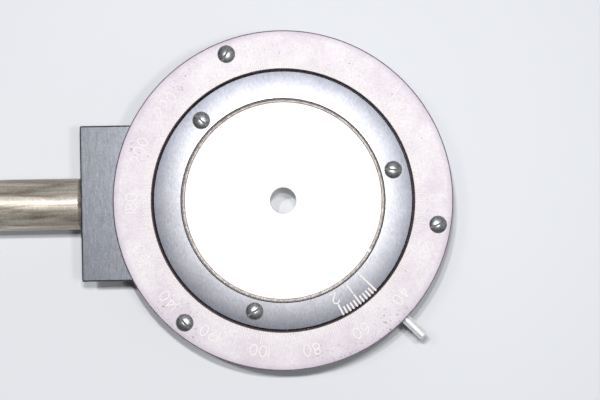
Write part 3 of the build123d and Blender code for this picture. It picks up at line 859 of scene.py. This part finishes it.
POST_R, POST_FAR, POST_BEVEL = 6.35, -125.7, 0.8
post_outline = eased([
    (0, POST_FAR), (POST_R - POST_BEVEL, POST_FAR), (POST_R, POST_FAR + POST_BEVEL),
    (POST_R, BLOCK_X - POST_BEVEL), (POST_R - POST_BEVEL, BLOCK_X), (0, BLOCK_X)],
    (0, 0.2, 0.2, 0.2, 0.2, 0))
post_place = shift(0, 0, BLOCK_Z) @ turn(90, "Y")
post = new_piece("round_post", placed(turned(post_outline, 128), post_place), [post_steel])
finished(post, FIXED, "tarnished_steel", "post")

# %% [markdown]
# ## Pieces inside
# The bush, washers, spring washer, lock ring, grub screw, dowels and stud are hidden once the stage
# is together. Their solids are right as they are, so they stay and only get their metals.

# %% Finishes of the inner pieces
inner = {
    "journal_bush": bronze, "front_thrust_washer": bronze, "rear_thrust_washer": bronze,
    "drag_spring_washer": spring_steel, "rotor_lock_ring": black,
    "lock_ring_grub_screw": screw_steel, "block_dowels": bright_steel, "post_stud": screw_steel}
for name, material in inner.items():
    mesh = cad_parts[name].data
    mesh.materials.clear()
    mesh.materials.append(material)
print("inner pieces", len(inner))

# %% [markdown]
# ## Floor, camera and lamps
# The floor is pale paper, and the camera hangs straight above it. Five round lamps hang nearly
# overhead. Three small ones, a little up the picture, give the narrow shadow under the ring's lower
# edge, and two wide low ones brighten the vernier ring at its sides. A sixth, weak lamp under the
# disc stands for the light that a thin white plastic lets through.

# %% Floor
floor_material, _, _ = new_material("pale_paper_floor", Base_Color=linear("#E4E6EA"),
                                    Roughness=0.8, IOR=1.45)
FLOOR_HALF = 3000.0
floor_points = np.array([(x * FLOOR_HALF, y * FLOOR_HALF, 0)
                         for x, y in ((-1, -1), (1, -1), (1, 1), (-1, 1))])
floor = new_piece("floor", (floor_points, [np.array([(0, 1, 2, 3)])]), [floor_material])

# %% Camera
camera_data = bpy.data.cameras.new("camera")
camera_data.sensor_width = 36.0
camera_data.lens = 85.506
camera_data.clip_start = 0.01
camera = bpy.data.objects.new("camera", camera_data)
camera.location = Vector((4.117, 0.049, 376.75)) * MM
camera.rotation_euler = (0.0, 0.0, math.radians(-1.0))
bpy.context.scene.collection.objects.link(camera)
bpy.context.scene.camera = camera
bpy.context.scene.view_settings.view_transform = "Standard"


# %% Lamps
FLOOR_LIGHT = 3.15


def lamp(name, x, y, height, radius, share):
    """A round lamp that faces the origin, in millimetres. It gives the floor under it its share of
    the light: the power is pi times the irradiance times the height squared."""
    data = bpy.data.lights.new(name, "AREA")
    data.shape = "DISK"
    data.size = 2 * radius * MM
    data.energy = share * FLOOR_LIGHT * math.pi * (height * MM) ** 2
    light = bpy.data.objects.new(name, data)
    light.location = Vector((x, y, height)) * MM
    light.rotation_euler = Vector((x, y, height)).to_track_quat("Z", "Y").to_euler()
    light.visible_camera = False
    bpy.context.scene.collection.objects.link(light)


lamp("left", -40.0, 62.0, 632.0, 6.0, 0.28)
lamp("right", 19.0, 45.0, 532.0, 5.0, 0.21)
lamp("near", 4.0, 18.0, 362.0, 3.0, 0.27)
lamp("low_right", 55.0, -5.0, 450.0, 12.0, 0.15)
lamp("low_left", -56.0, 36.0, 450.0, 14.0, 0.07)
lamp("under_the_disc", 0.0, 0.0, 20.0, 12.0, 0.34)

# %% [markdown]
# ## The room around it
# The world's light depends on the direction. A bright window stands beyond the stage and a pale
# wall beside it, both at thirty degrees, and light comes up from below, so that the back isn't
# black when the stage is lifted. A direction's closeness to the window is their dot product.

# %% The room
world = bpy.data.worlds.new("studio")
world.use_nodes = True
bpy.context.scene.world = world
way = node(world, "TexCoord").outputs["Generated"]
WINDOW_WAY, WALL_WAY = (0.0, 0.87, 0.5), (0.87, 0.0, 0.5)
beyond = node(world, "VectorMath", {0: way, 1: WINDOW_WAY}, operation="DOT_PRODUCT")
window = ranged(world, beyond.outputs["Value"], 0.75, 0.95, 0.03, 0.4)
beside = node(world, "VectorMath", {0: way, 1: WALL_WAY}, operation="DOT_PRODUCT")
wall = ranged(world, beside.outputs["Value"], 0.75, 0.95, 0.0, 0.35)
rise = node(world, "SeparateXYZ", {0: way}).outputs["Z"]
below = ranged(world, rise, 0.25, -0.5, 0.0, 0.9)
sides = node(world, "Math", {0: window, 1: wall}, operation="ADD").outputs[0]
room = node(world, "Math", {0: sides, 1: below}, operation="ADD").outputs[0]
background = world.node_tree.nodes["Background"]
background.inputs["Color"].default_value = linear("#EEF0F4")
world.node_tree.links.new(room, background.inputs["Strength"])
